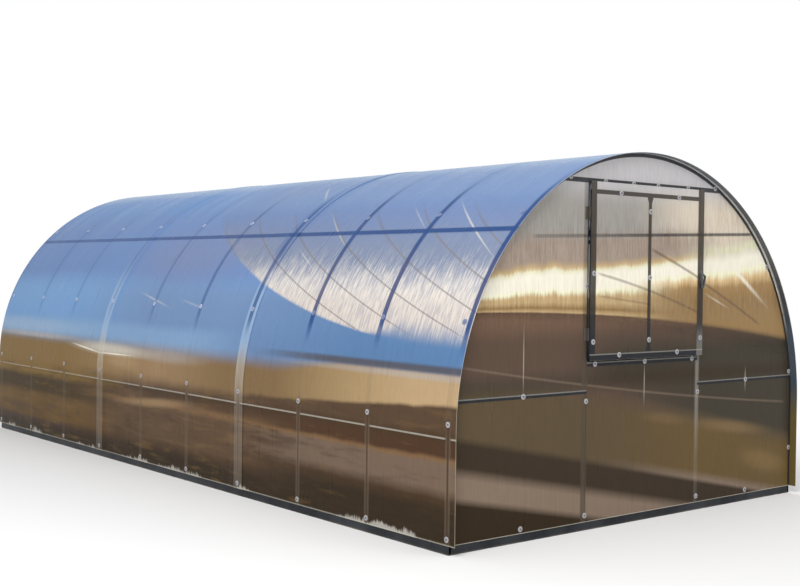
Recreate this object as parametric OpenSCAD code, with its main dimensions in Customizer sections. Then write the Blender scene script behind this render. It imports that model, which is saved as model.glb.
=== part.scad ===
// Arched greenhouse: a square-tube steel frame under twin-wall sheets.
// The front gable faces -Y, the length runs along Y and +Z is up.
// The origin is on the ground at the middle of the plan. Millimetres.

/* [Frame size] */
// Length over the outer faces of the end arches
frame_l = 6000; // [4800:10:9000]
// Outer radius of the arch tube
arch_r = 1500; // [1200:10:1900]
// Height of the springing line, where the straight legs end
leg_h = 625; // [500:5:760]

/* [Tube] */
// Side of the square frame tube
tube = 20; // [16:1:30]
// Wall of the square frame tube
tube_wall = 1.5; // [1:0.1:3]
// Height of the base tube, which is as wide as the frame tube
base_h = 50; // [40:1:80]
// Wall of the base tube
base_wall = 2; // [1:0.1:3]
// Width of the flared end of a side rail or purlin
rail_flare_w = 38; // [30:1:50]
// Length of the flared end of a side rail or purlin
rail_flare_l = 14; // [8:1:30]
// Width of the flared end of a gable or leaf tube
gable_flare_w = 50; // [40:1:60]
// Length of the flared end of a gable or leaf tube
gable_flare_l = 22; // [10:1:30]

/* [Long rails] */
// Drop of the low side rails below the springing line
side_rail_drop = 38; // [30:1:200]
// Angle of the purlins above the springing line
purlin_angle = 44; // [30:1:60]

/* [Gable frame] */
// Spacing of the two posts, centre to centre
post_spacing = 1000; // [700:5:1200]
// Drop of the lintel below the crown of the arch
lintel_drop = 160; // [150:1:260]
// Height of the two short side rails above the springing line
mid_rail_rise = 148; // [80:1:200]
// Height of the vent sill above the springing line
sill_rise = 300; // [240:1:400]

/* [Vent leaf] */
// How far the leaf frame laps onto each post
leaf_cover = 0; // [0:0.5:6]
// Sideways offset of the leaf towards its latch
leaf_shift = 5; // [0:1:8]
// Height of the leaf's bottom rail above the sill
leaf_rise = 47; // [30:1:80]
// Drop of the leaf's top rail below the lintel
leaf_drop = 61; // [40:1:100]
// How far the leaf's sheet laps past its frame at the sides
leaf_lap_x = 14; // [5:1:20]
// How far the leaf's sheet hangs below the centre line of its bottom rail
leaf_lap_low = 27; // [15:1:40]
// How far the leaf's sheet rises above the centre line of its top rail
leaf_lap_high = 56; // [15:1:60]

/* [Sheets] */
// Thickness of the twin-wall sheet
sheet_t = 4; // [3:0.5:10]
// How far the roof sheets run past the gables
overhang = 50; // [20:1:100]
// How far neighbouring roof sheets lap
roof_lap = 100; // [60:1:160]
// Length of the step where the middle sheet climbs onto its neighbours
joggle = 60; // [30:1:120]
// How far every sheet laps down over the base tube
sheet_foot = 3; // [1:1:20]
// Gap of the butt joint where two gable sheets meet on a post
butt_gap = 2; // [1:0.5:5]

/* [Hinges] */
// Height of a hinge
hinge_h = 70; // [40:1:100]
// Radius of the hinge barrel
hinge_r = 5; // [4:0.5:8]
// Thickness of a hinge plate
hinge_t = 2; // [1.5:0.5:3]
// Width of the hinge plate on the gable
hinge_plate_w = 28; // [20:1:40]
// Distance of each hinge from the end of its stile
hinge_inset = 120; // [80:1:200]
// Slit between the knuckles of a hinge
knuckle_slit = 1; // [0.5:0.5:2]

/* [Latch] */
// Height of the latch above the leaf's bottom rail
latch_rise = 455; // [150:1:600]
// Height of the latch's backplate
latch_plate_h = 70; // [50:1:100]
// Width of the latch's backplate
latch_plate_w = 20; // [12:1:24]
// Thickness of the latch's backplate
latch_plate_t = 3; // [2:0.5:5]
// Reach of the latch's looped handle, sideways
latch_reach = 32; // [30:1:60]
// Drop of the latch's looped handle
latch_drop = 80; // [50:1:90]
// Thickness of the latch's handle
latch_bar = 12; // [6:1:12]

/* [Fits] */
// Gap between a sheet, rail or coped tube and what it is seated on
seat_gap = 0.3; // [0.2:0.1:1]

/* [Hidden] */
$fn = 180;

frame_colour = "#454a52";
base_colour = "#27323f";
sheet_colour = "#8f7a5e";
latch_colour = "#15171a";
small_fn = 48;

arch_count = 10;
roof_sheets = 3;
pitch = (frame_l - tube) / (arch_count - 1);
inner_r = arch_r - tube;
mid_r = arch_r - tube / 2;
sheet_z0 = base_h - sheet_foot;
sheet_w = (frame_l + 2 * overhang + (roof_sheets - 1) * roof_lap) / roof_sheets;

// Heights of the cross tubes, at their centre lines
side_rail_z = leg_h - side_rail_drop;
mid_rail_z = leg_h + mid_rail_rise;
sill_z = leg_h + sill_rise;
lintel_z = leg_h + inner_r - lintel_drop;
leaf_z0 = sill_z + leaf_rise;
leaf_z1 = lintel_z - leaf_drop;
leaf_w = post_spacing - tube + 2 * leaf_cover;

// Planes of the gable, measured outwards from the middle of the plan
gable_y = frame_l / 2;
fixed_y = gable_y + seat_gap;
leaf_y = fixed_y + sheet_t + seat_gap;
leaf_sheet_y = leaf_y + tube + seat_gap;

// Inner radii of the roof skins: on the arches, and on a neighbouring sheet
skin_r = arch_r + seat_gap;
lap_r = skin_r + sheet_t + seat_gap;
// The gable sheets stay this far inside the roof sheets
gable_trim = 1;

// ---- tubes ----

// Hollow tube section, w across and h up, from its lower left corner
module tube_section(w, h, wall) {
    difference() {
        square([w, h]);
        translate([wall, wall]) square([w - 2 * wall, h - 2 * wall]);
    }
}

// Side view of a tube along X with its ends flared from height h to f0 and f1
module flare_outline(l, h, f0, f1, fl) {
    polygon([
        [0, -f0 / 2], [fl, -h / 2], [l - fl, -h / 2], [l, -f1 / 2],
        [l, f1 / 2], [l - fl, h / 2], [fl, h / 2], [0, f0 / 2]
    ]);
}

// Open-ended tube of length l along X, centred on the axis, its ends spread in Z
module flared_tube(l, f0, f1, fl) {
    w = 2 * tube_wall;
    translate([0, tube / 2, 0])
        rotate([90, 0, 0])
            difference() {
                linear_extrude(height = tube) flare_outline(l, tube, f0, f1, fl);
                translate([0, 0, tube_wall])
                    linear_extrude(height = tube - w)
                        flare_outline(l, tube - w, f0 - w, f1 - w, fl);
            }
}

// Sweeps a profile drawn as (radius, y) over the arch and down both legs to z0
module arch_sweep(z0) {
    translate([0, 0, leg_h])
        rotate([90, 0, 0])
            rotate_extrude(angle = 180) mirror([0, 1]) children();
    for (s = [0, 1])
        mirror([s, 0, 0])
            translate([0, 0, z0]) linear_extrude(height = leg_h - z0) children();
}

// Round bar of radius r on the axis of the arch, used to cope tubes and cut gables
module arch_inside(r, y0, l) {
    translate([0, y0 + l, leg_h]) rotate([90, 0, 0]) cylinder(r = r, h = l);
}

// Turns a piece drawn for the front gable to the rear one where side is positive
module at_gable(side) {
    mirror([0, side > 0 ? 1 : 0, 0]) children();
}

// ---- frame ----

// One arch with its two legs, standing on the base tubes
module arch(i) {
    color(frame_colour)
        arch_sweep(base_h)
            translate([inner_r, i * pitch - gable_y]) tube_section(tube, tube, tube_wall);
}

// Base tube along one side, over the full length
module base_long(side) {
    color(base_colour)
        translate([side > 0 ? inner_r : -arch_r, gable_y, 0])
            rotate([90, 0, 0])
                linear_extrude(height = frame_l) tube_section(tube, base_h, base_wall);
}

// Base tube across one end, cut between the long ones
module base_cross(side) {
    color(base_colour)
        at_gable(side)
            translate([-inner_r, -gable_y, 0])
                rotate([90, 0, 90])
                    linear_extrude(height = 2 * inner_r)
                        tube_section(tube, base_h, base_wall);
}

// Short rails along Y that fill the bays between the arches, their flared ends
// seated on the side faces of the arch tubes
module bay_rails() {
    for (i = [0 : arch_count - 2])
        translate([0, tube + seat_gap + i * pitch - gable_y, 0])
            rotate([0, 0, 90])
                flared_tube(pitch - tube - 2 * seat_gap, rail_flare_w, rail_flare_w,
                            rail_flare_l);
}

module side_rail(side) {
    color(frame_colour)
        translate([side * mid_r, 0, side_rail_z]) bay_rails();
}

module purlin(side) {
    color(frame_colour)
        mirror([side < 0 ? 1 : 0, 0, 0])
            translate([0, 0, leg_h])
                rotate([0, -purlin_angle, 0])
                    translate([mid_r, 0, 0]) bay_rails();
}

// ---- gable frame, in the plane of the end arch ----

// Upright from z0 to z1 at x, its ends spread to f0 and f1 along X
module upright(x, y, z0, z1, f0, f1) {
    translate([x, y, z0])
        rotate([0, -90, 0]) flared_tube(z1 - z0, f0, f1, gable_flare_l);
}

module posts(side) {
    color(frame_colour)
        at_gable(side)
            for (s = [-1, 1])
                upright(s * post_spacing / 2, tube / 2 - gable_y,
                        base_h, lintel_z - tube / 2, tube, gable_flare_w);
}

// Cross tube of the gable from the arch to x1, coped to the inside of the arch
module coped_tube(x1, z, f1) {
    intersection() {
        translate([-arch_r, tube / 2 - gable_y, z])
            flared_tube(x1 + arch_r, tube, f1, gable_flare_l);
        arch_inside(inner_r - seat_gap, -gable_y - 1, tube + 2);
    }
}

module lintel(side) {
    color(frame_colour)
        at_gable(side) coped_tube(arch_r, lintel_z, tube);
}

module mid_rails(side) {
    color(frame_colour)
        at_gable(side)
            for (s = [0, 1])
                mirror([s, 0, 0])
                    coped_tube(-(post_spacing + tube) / 2, mid_rail_z, rail_flare_w);
}

module vent_sill(side) {
    w = post_spacing - tube;
    color(frame_colour)
        at_gable(side)
            translate([-w / 2, tube / 2 - gable_y, sill_z])
                flared_tube(w, rail_flare_w, rail_flare_w, rail_flare_l);
}

// ---- vent leaf, in front of the fixed sheets ----

module vent_frame(side) {
    x0 = leaf_shift - leaf_w / 2;
    y = -leaf_y - tube / 2;
    top = leaf_z1 + tube / 2;
    low = leaf_z0 - tube / 2;
    color(frame_colour)
        at_gable(side) {
            upright(x0 + tube / 2, y, low, top, tube, tube);
            upright(x0 + leaf_w - tube / 2, y, low, top, tube, tube);
            for (z = [leaf_z0, leaf_z1])
                translate([x0 + tube, y, z])
                    flared_tube(leaf_w - 2 * tube, tube, tube, rail_flare_l);
            upright(leaf_shift, y, low + tube, top - tube, rail_flare_w, gable_flare_w);
        }
}

module vent_sheet(side) {
    w = leaf_w + 2 * leaf_lap_x;
    h = leaf_z1 + leaf_lap_high - leaf_z0 + leaf_lap_low;
    color(sheet_colour)
        at_gable(side)
            translate([leaf_shift - w / 2, -leaf_sheet_y - sheet_t, leaf_z0 - leaf_lap_low])
                cube([w, sheet_t, h]);
}

// Butt hinge: one plate on the gable sheet over the post, one on the leaf's stile,
// and a barrel of three knuckles between them
module hinge(z) {
    stile_x = leaf_shift - leaf_w / 2 - seat_gap;
    bx = stile_x - hinge_t / 2 - hinge_r;
    by = -leaf_y - hinge_r;
    knuckle = (hinge_h - 2 * knuckle_slit) / 3;
    step = knuckle + knuckle_slit;
    translate([0, 0, z - hinge_h / 2]) {
        for (k = [0 : 2])
            translate([bx, by, k * step]) cylinder(r = hinge_r, h = knuckle, $fn = small_fn);
        translate([bx, by, 0]) cylinder(r = hinge_r / 2, h = hinge_h, $fn = small_fn);
        translate([bx - hinge_r - hinge_plate_w, -leaf_y - hinge_t, 0])
            cube([hinge_plate_w, hinge_t, hinge_h]);
        for (k = [0, 2])
            translate([bx - hinge_r, -leaf_y - hinge_t, k * step])
                cube([hinge_r, hinge_t, knuckle]);
        translate([stile_x - hinge_t, -leaf_y - tube, 0])
            cube([hinge_t, tube - 2 * hinge_r - knuckle_slit, hinge_h]);
        translate([stile_x - hinge_t, -leaf_y - tube, step])
            cube([hinge_t, tube - hinge_r, knuckle]);
    }
}

module vent_hinges(side) {
    color(frame_colour)
        at_gable(side)
            for (z = [leaf_z0 + hinge_inset, leaf_z1 - hinge_inset])
                hinge(z);
}

// Outline of the looped handle: a rounded wedge from the pivot out and down
module latch_loop(r) {
    hull() {
        circle(r = r, $fn = 32);
        translate([latch_reach - latch_bar, -latch_bar]) circle(r = r, $fn = 32);
        translate([latch_bar / 2, latch_bar - latch_drop]) circle(r = r, $fn = 32);
    }
}

// Turn latch on the leaf's sheet, over the free stile
module vent_latch(side) {
    x0 = leaf_shift + leaf_w / 2 - tube / 2;
    y0 = -leaf_sheet_y - sheet_t - seat_gap;
    color(latch_colour)
        at_gable(side)
            translate([x0, y0, leaf_z0 + latch_rise])
                rotate([90, 0, 0]) {
                    linear_extrude(height = latch_plate_t)
                        hull()
                            for (s = [-1, 1])
                                translate([0, s * (latch_plate_h - latch_plate_w) / 2])
                                    circle(d = latch_plate_w, $fn = 32);
                    cylinder(d = latch_plate_w - 4, h = latch_plate_t + latch_bar, $fn = small_fn);
                    translate([0, 0, latch_plate_t + 1])
                        linear_extrude(height = latch_bar - 1)
                            difference() {
                                latch_loop(latch_bar);
                                latch_loop(latch_bar / 3);
                            }
                }
}

// ---- gable sheets ----

// Piece of the gable skin between two x and two z positions, trimmed to the arch
module gable_piece(x0, x1, z0, z1) {
    r = arch_r - gable_trim;
    intersection() {
        translate([x0, -fixed_y - sheet_t, z0]) cube([x1 - x0, sheet_t, z1 - z0]);
        union() {
            arch_inside(r, -fixed_y - sheet_t - 1, sheet_t + 2);
            translate([-r, -fixed_y - sheet_t - 1, 0]) cube([2 * r, sheet_t + 2, leg_h]);
        }
    }
}

module gable_sheet_side(side, s) {
    x1 = -(post_spacing + butt_gap) / 2;
    color(sheet_colour)
        at_gable(side)
            mirror([s > 0 ? 1 : 0, 0, 0])
                gable_piece(-arch_r, x1, sheet_z0, leg_h + arch_r);
}

// The middle sheet, in one piece below the vent and one above it
module gable_sheet_centre(side) {
    x1 = (post_spacing - butt_gap) / 2;
    color(sheet_colour)
        at_gable(side) {
            gable_piece(-x1, x1, sheet_z0, sill_z + tube / 2);
            gable_piece(-x1, x1, lintel_z - tube / 2, leg_h + arch_r);
        }
}

// ---- roof sheets ----

// End sheet, flat along its length
module roof_sheet_end(side) {
    color(sheet_colour)
        at_gable(side)
            arch_sweep(sheet_z0)
                translate([skin_r, -gable_y - overhang]) square([sheet_t, sheet_w]);
}

// Middle sheet, stepped outwards at both ends to lie over its neighbours
module roof_sheet_mid() {
    lap_end = sheet_w / 2;
    step_out = lap_end - roof_lap - seat_gap;
    step_in = step_out - joggle;
    up = lap_r - skin_r;
    color(sheet_colour)
        arch_sweep(sheet_z0)
            translate([skin_r, 0])
                polygon([
                    [up, -lap_end], [up, -step_out], [0, -step_in],
                    [0, step_in], [up, step_out], [up, lap_end],
                    [up + sheet_t, lap_end], [up + sheet_t, step_out], [sheet_t, step_in],
                    [sheet_t, -step_in], [up + sheet_t, -step_out], [up + sheet_t, -lap_end]
                ]);
}

base_cross(-1);  // base_rail_front
base_cross(1);  // base_rail_rear
base_long(-1);  // base_rail_left
base_long(1);  // base_rail_right
arch(0);  // end_arch_front
arch(1);  // arch_2
arch(2);  // arch_3
arch(3);  // arch_4
arch(4);  // arch_5
arch(5);  // arch_6
arch(6);  // arch_7
arch(7);  // arch_8
arch(8);  // arch_9
arch(9);  // end_arch_rear
side_rail(-1);  // side_rail_left
side_rail(1);  // side_rail_right
purlin(-1);  // purlin_left
purlin(1);  // purlin_right
posts(-1);  // front_posts
posts(1);  // rear_posts
lintel(-1);  // front_lintel
lintel(1);  // rear_lintel
mid_rails(-1);  // front_mid_rails
mid_rails(1);  // rear_mid_rails
vent_sill(-1);  // front_vent_sill
vent_sill(1);  // rear_vent_sill
vent_frame(-1);  // front_vent_frame
vent_frame(1);  // rear_vent_frame
vent_sheet(-1);  // front_vent_sheet
vent_sheet(1);  // rear_vent_sheet
vent_hinges(-1);  // front_vent_hinges
vent_hinges(1);  // rear_vent_hinges
vent_latch(-1);  // front_vent_latch
vent_latch(1);  // rear_vent_latch
gable_sheet_side(-1, -1);  // front_gable_sheet_left
gable_sheet_side(-1, 1);  // front_gable_sheet_right
gable_sheet_centre(-1);  // front_gable_sheet_centre
gable_sheet_side(1, -1);  // rear_gable_sheet_left
gable_sheet_side(1, 1);  // rear_gable_sheet_right
gable_sheet_centre(1);  // rear_gable_sheet_centre
roof_sheet_end(-1);  // roof_sheet_front
roof_sheet_mid();  // roof_sheet_middle
roof_sheet_end(1);  // roof_sheet_rear
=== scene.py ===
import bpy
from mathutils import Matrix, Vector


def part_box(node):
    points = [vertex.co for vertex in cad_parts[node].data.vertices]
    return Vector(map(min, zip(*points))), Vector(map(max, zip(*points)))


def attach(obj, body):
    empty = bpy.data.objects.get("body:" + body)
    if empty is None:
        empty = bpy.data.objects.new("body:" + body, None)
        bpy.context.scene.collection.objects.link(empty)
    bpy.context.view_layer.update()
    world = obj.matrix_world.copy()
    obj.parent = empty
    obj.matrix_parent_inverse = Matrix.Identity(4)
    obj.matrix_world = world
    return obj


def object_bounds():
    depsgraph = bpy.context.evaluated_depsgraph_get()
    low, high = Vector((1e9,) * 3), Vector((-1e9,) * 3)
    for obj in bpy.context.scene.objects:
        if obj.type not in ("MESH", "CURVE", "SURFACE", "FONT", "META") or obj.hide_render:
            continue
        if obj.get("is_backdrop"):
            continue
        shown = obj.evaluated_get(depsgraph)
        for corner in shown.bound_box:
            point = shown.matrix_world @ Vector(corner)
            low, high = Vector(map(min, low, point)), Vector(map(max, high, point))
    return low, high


bl_info = {
    "name": "Arched greenhouse finish",
    "version": (1, 0, 0),
    "blender": (4, 5, 0),
    "location": "View3D > Sidebar > Greenhouse",
    "description": "Finishes the steel frame, twin-wall sheets and fittings of an arched greenhouse",
    "category": "Object",
}

import inspect
import math

import bpy
from bpy.props import FloatProperty, FloatVectorProperty, PointerProperty
from mathutils import Matrix, Vector

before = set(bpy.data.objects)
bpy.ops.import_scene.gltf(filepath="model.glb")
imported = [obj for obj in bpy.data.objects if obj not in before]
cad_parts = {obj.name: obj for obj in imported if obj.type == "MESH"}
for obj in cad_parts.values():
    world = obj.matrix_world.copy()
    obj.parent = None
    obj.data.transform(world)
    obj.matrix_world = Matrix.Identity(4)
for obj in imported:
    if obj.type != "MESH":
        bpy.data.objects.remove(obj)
CAD_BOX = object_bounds()

# ---- what the frame says about the greenhouse, in metres ----

ARCHES = ("end_arch_front", *("arch_%d" % n for n in range(2, 10)), "end_arch_rear")
ROOF_SHEETS = ("roof_sheet_front", "roof_sheet_middle", "roof_sheet_rear")
LONG_TUBES = ("side_rail_left", "side_rail_right", "purlin_left", "purlin_right")
GABLE_TUBES = ("posts", "lintel", "mid_rails", "vent_sill", "vent_frame")
GABLE_SHEETS = ("gable_sheet_left", "gable_sheet_right", "gable_sheet_centre")
ENDS = ("front", "rear")


def span(node, axis):
    low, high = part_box(node)
    return low[axis], high[axis]


def middle(node, axis):
    return sum(span(node, axis)) / 2


X, Y, Z = 0, 1, 2
ARCH_PLACES = [middle(name, Y) for name in ARCHES]
BAY = (ARCH_PLACES[-1] - ARCH_PLACES[0]) / (len(ARCHES) - 1)
TUBE = span("end_arch_front", Y)[1] - span("end_arch_front", Y)[0]
ARCH_R = span("end_arch_front", X)[1]
SPRING_Z = span("end_arch_front", Z)[1] - ARCH_R
SKIN_R = span("roof_sheet_front", X)[1]
LAP_R = span("roof_sheet_middle", X)[1]
SHEET_FOOT = span("roof_sheet_front", Z)[0]
ROOF_END = span("roof_sheet_rear", Y)[1]
LAP_START, LAP_END = span("roof_sheet_rear", Y)[0], span("roof_sheet_middle", Y)[1]
LAP_Y, LAP_HALF = (LAP_START + LAP_END) / 2, (LAP_END - LAP_START) / 2
RAIL_Z = middle("side_rail_left", Z)
PURLIN_Z = middle("purlin_left", Z)
POST_X = (span("front_gable_sheet_centre", X)[1] + span("front_gable_sheet_right", X)[0]) / 2
MID_RAIL_Z = middle("front_mid_rails", Z)
SILL_Z = middle("front_vent_sill", Z)
LINTEL_Z = middle("front_lintel", Z)
LEAF_LOW, LEAF_TOP = span("front_vent_frame", Z)
LEAF_LEFT, LEAF_RIGHT = span("front_vent_frame", X)
LEAF_MID = (LEAF_LEFT + LEAF_RIGHT) / 2
LEAF_Z0, LEAF_Z1 = LEAF_LOW + TUBE / 2, LEAF_TOP - TUBE / 2
GABLE_FACE = -span("front_gable_sheet_left", Y)[0]
LEAF_FACE = -span("front_vent_sheet", Y)[0]

# ---- sizes of the looks, screws and stage, in metres ----

HALF_LONG, HALF_WIDE = 3.0, 1.5  # of the ground under the frame
HORIZON_Z = 0.926  # painted reflection of a dark horizon line between the blue and the straw of the roof
STREAK_WIDTH = 0.012  # what a streak's length is measured against
CURVE_FADE = 0.06  # where the ends of a thin shade fade
WHITE = (1, 1, 1)

FOOT_SCREW_Z = 0.08
SPRING_SCREW_RISE = 0.035  # above the springing line
ROOF_SCREW_DEGREES = (21.5, 48.5)  # above the springing line
RIM_SCREW_R = 1.482  # ring of screws along a gable's edge
RIM_SCREW_ANGLES = (0.12, 0.62, 1.12)  # radians above the springing line
LEAF_SCREW_IN = 0.01  # from the leaf's edge
LEAF_SCREW_AWAY = 0.26  # from the leaf's middle

CAMERA_PLACE = (-5.4927, -7.4813, 1.4216)
CAMERA_FORWARD = (0.63227, 0.77456, -0.01704)
CAMERA_ROLL = -0.678  # degrees
SENSOR_WIDTH = 36.0  # millimetres
LAMP_AIM = (0, 0, 0.8)
LAMPS = (  # name, place, size and share of the key lamp's power
    ("key_lamp", (-7, -6, 8), 6.0, 1.0),
    ("gable_lamp", (3, -11, 5), 5.0, 0.15),
    ("back_lamp", (7, 7, 7), 6.0, 0.5),
)


def shade(code):
    """A six-digit colour as the linear red, green and blue that shaders take."""
    parts = [int(code[i : i + 2], 16) / 255 for i in (0, 2, 4)]
    return tuple(c / 12.92 if c <= 0.04045 else ((c + 0.055) / 1.055) ** 2.4 for c in parts)


def number(description, default, low, high, **kind):
    return FloatProperty(description=description, default=default, min=low, max=high, **kind)


def colour(description, code):
    return FloatVectorProperty(description=description, default=shade(code), size=3, min=0, max=1, subtype="COLOR")


def length(description, default, low, high):
    return number(description, default, low, high, unit="LENGTH", subtype="DISTANCE")


def share(description, default):
    return number(description, default, 0, 1, subtype="FACTOR")


def spell(key):
    return key.replace("_", " ").capitalize()


def named(group):
    """Gives every property of a group the name that its key spells."""
    for key, made in group.__annotations__.items():
        made.keywords["name"] = spell(key)
    return group


# ---- sizes and colours that can be changed ----


@named
class SteelFinish(bpy.types.PropertyGroup):
    tube: colour("Coating of the arches, rails and posts", "2c3038")
    base: colour("Coating of the tubes on the ground", "12161c")
    worn: colour("Paler tone where the coating is rubbed", "8b9199")
    dust: colour("Soil dust that lies on the low tubes", "8a7d6b")
    hinge: colour("Zinc of the hinges", "5b554e")
    latch: colour("Moulded plastic of the latches", "0c0d10")
    wear: share("How much of the coating is rubbed", 0.35)


@named
class SheetFinish(bpy.types.PropertyGroup):
    # Painted reflections of the sky on the roof
    crown_blue: colour("Roof along its crown", "a3bdda")
    high_blue: colour("Roof above the purlins", "5f8ec9")
    pale_blue: colour("Roof above the purlins near the front", "7494c5")
    middle_blue: colour("Shoulders at mid length", "7392bd")
    violet_blue: colour("Roof round the purlins", "6a8cc2")
    deep_blue: colour("Roof at the shoulders", "78a5d7")
    front_blue: colour("Duller shoulders near the front", "5d82ae")
    low_blue: colour("Roof just above the horizon", "8cafd4")
    # Painted reflections of the horizon and the field on the walls, with painted shade darkest at the foot
    haze: colour("Pale line above the straw", "b2aead")
    dusk: colour("Dark line above the straw", "57555a")
    straw: colour("Walls next to the front", "bea27b")
    sand: colour("Walls behind the first bay", "a48a63")
    clay: colour("Walls before mid length", "846a49")
    tan: colour("Walls at mid length", "9f825f")
    ochre: colour("Walls towards the rear", "876b3d")
    bark: colour("Brown just above the low rail", "594534")
    olive: colour("Dark strip below the low rail at the rear", "402e00")
    red_earth: colour("Red-brown below the low rail", "4f3726")
    copper: colour("Thin warm line below the red-brown", "806244")
    mauve: colour("Pale brown next to the front", "776455")
    earth: colour("Brown of the lower walls", "614b37")
    loam: colour("Lower walls at the rear", "6c4f22")
    amber: colour("Walls round the low rail at the rear", "80632a")
    umber: colour("Dark brown near the foot", "493726")
    soot: colour("Darkest brown at the foot", "372b1d")
    # Painted light shining through the gables, and painted reflection and shade on them
    cream: colour("Light through the upper gable", "fdf7e6")
    gold: colour("Strip under the cream on the left", "e1c393")
    brass: colour("Strip under the cream on the right", "ad8d60")
    taupe: colour("Gable above the cream band", "bba99a")
    warm_grey: colour("Gable beside the leaf", "b5b1ab")
    lilac: colour("Gable below the crown", "dddadd")
    pale_gold: colour("Edges of the cream band", "fbf9d8")
    stone: colour("Upper gable on the right", "f4e7d3")
    bronze: colour("Gable just below the border", "775f4e")
    brown: colour("Gable on the left", "604e42")
    slate_brown: colour("Gable on the right", "453f35")
    moss: colour("Olive band of the lower gable", "5f513c")
    honey: colour("Golden brown band of the lower gable", "6c5837")
    rose: colour("Pink-brown band low on the gable", "897767")
    gable_dark: colour("Dark band below the moss", "3f3429")
    # Painted reflection and painted light on the shoulder next to the front
    patch_grey: colour("Shoulder next to the front", "7989b2")
    patch_light: colour("Light through that shoulder", "f9f1ea")
    # Painted light and shade on the inner side of the roof's lip
    lip_pale: colour("Inner side of the roof's lip, high up", "dcd9d1")
    lip_slate: colour("The lip half way up", "47525c")
    lip_olive: colour("The lip low down", "6b5c34")
    # Painted shade of the tubes behind the sheets
    line_blue: colour("Tubes behind the roof", "234880")
    line_slate: colour("The same tubes at the lit shoulder", "474f77")
    line_shade: colour("Thin shades of the far arches", "75727c")
    line_dark: colour("Tubes behind the gable", "2e3136")
    line_brown: colour("Stiles of the leaf, higher up", "433d37")
    line_grey: colour("Legs of the arches behind the walls", "7a6d61")
    post: colour("Posts behind the lower gable", "564c40")
    # Cut edges of the sheets; the same colour paints highlights and pale painted reflections
    edge: colour("Cut edges of the sheets", "cfcabd")
    # Dried splashes; the same colour paints the highlights on the tubes behind the gables and leaves
    frost: colour("Dried splashes in the flutes", "c9c4ba")
    roof_opacity: share("Light that the roof holds back", 0.985)
    shoulder_opacity: share("Light that the lit shoulder holds back", 0.86)
    gable_opacity: share("Light that the gables hold back", 0.9)
    leaf_opacity: share("Light that the leaves' sheets hold back", 0.88)
    wall_opacity: share("Light that the sheets hold back near the ground", 0.997)
    flute: length("Distance between the walls inside the sheet", 0.0057, 0.003, 0.02)
    streak: length("Length of the streaks along the flutes", 0.12, 0.02, 1.0)


@named
class ScrewSizes(bpy.types.PropertyGroup):
    washer_r: length("Radius of the plastic washer", 0.0155, 0.008, 0.02)
    washer_t: length("Thickness of the plastic washer", 0.003, 0.001, 0.006)
    head_r: length("Radius of the screw's head", 0.0048, 0.003, 0.008)
    head_t: length("Height of the screw's head", 0.0028, 0.001, 0.006)
    washer: colour("Plastic of the washers", "a5a4a8")
    # Painted sky reflection on the washers and screw heads high on the roof
    roof_washer: colour("Washers near the front of the roof", "6d7da8")
    far_washer: colour("Washers towards the rear of the roof", "b4bfd8")
    screw: colour("Zinc of the screws", "4b4a4c")


@named
class StageSettings(bpy.types.PropertyGroup):
    floor: colour("Pale studio floor", "f4f4f4")
    floor_r: length("Radius of the studio floor", 40.0, 10, 100)
    fill: number("Strength of the light from all round", 0.62, 0, 3)
    key: number("Power of the large soft lamp, in watts", 700.0, 0, 9000)
    lens: number("Focal length in millimetres", 53.87, 20, 200)


# ---- building shader nodes ----


def sign(operation, swapped=False):
    """What a sign of arithmetic does between two values."""

    def place(self, *other):
        return self.board.maths(operation, *((*other, self) if swapped else (self, *other)))

    return place


class Value:
    """A number or colour inside a shader. It takes the signs of arithmetic, and | is the greater of two."""

    def __init__(self, board, socket):
        self.board, self.socket = board, socket

    __add__ = __radd__ = sign("ADD")
    __mul__ = __rmul__ = sign("MULTIPLY")
    __sub__, __rsub__ = sign("SUBTRACT"), sign("SUBTRACT", swapped=True)
    __truediv__, __or__, __abs__ = sign("DIVIDE"), sign("MAXIMUM"), sign("ABSOLUTE")

    def rise(self, low, high, start=0.0, end=1.0):
        """Goes smoothly from start to end as this value goes from low to high."""
        limits = {"Value": self, "From Min": low, "From Max": high, "To Min": start, "To Max": end}
        return self.board.value("MapRange", limits, interpolation_type="SMOOTHSTEP")

    def fall(self, low, high):
        """Goes smoothly from 1 to 0 as this value goes from low to high."""
        return self.rise(low, high, 1.0, 0.0)

    def line(self, centre, half_width, softness):
        """Mask of a thin painted line, such as the shade of a tube that presses on a sheet, where this value is near
        the centre.
        """
        return self.board.group("pressed line", self, centre, half_width, softness)[0]

    def bands(self, top, *stops):
        """Colour bands as this value goes from 0 to top. Each stop is a colour and the heights it holds between."""
        made = self.board.put("ValToRGB", {"Fac": self / top})
        marks = made.color_ramp.elements
        marks.remove(marks[-1])
        points = [(height / top, (*tone, 1)) for tone, *heights in stops for height in heights]
        marks[0].position, marks[0].color = points[0]
        for place, tone in points[1:]:
            marks.new(place).color = tone
        return Value(self.board, made.outputs["Color"])

    def under(self, mask, tone, way="MIX"):
        """This colour with another laid over it where the mask is 1."""
        return self.board.blend(mask, self, tone, way)


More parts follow.
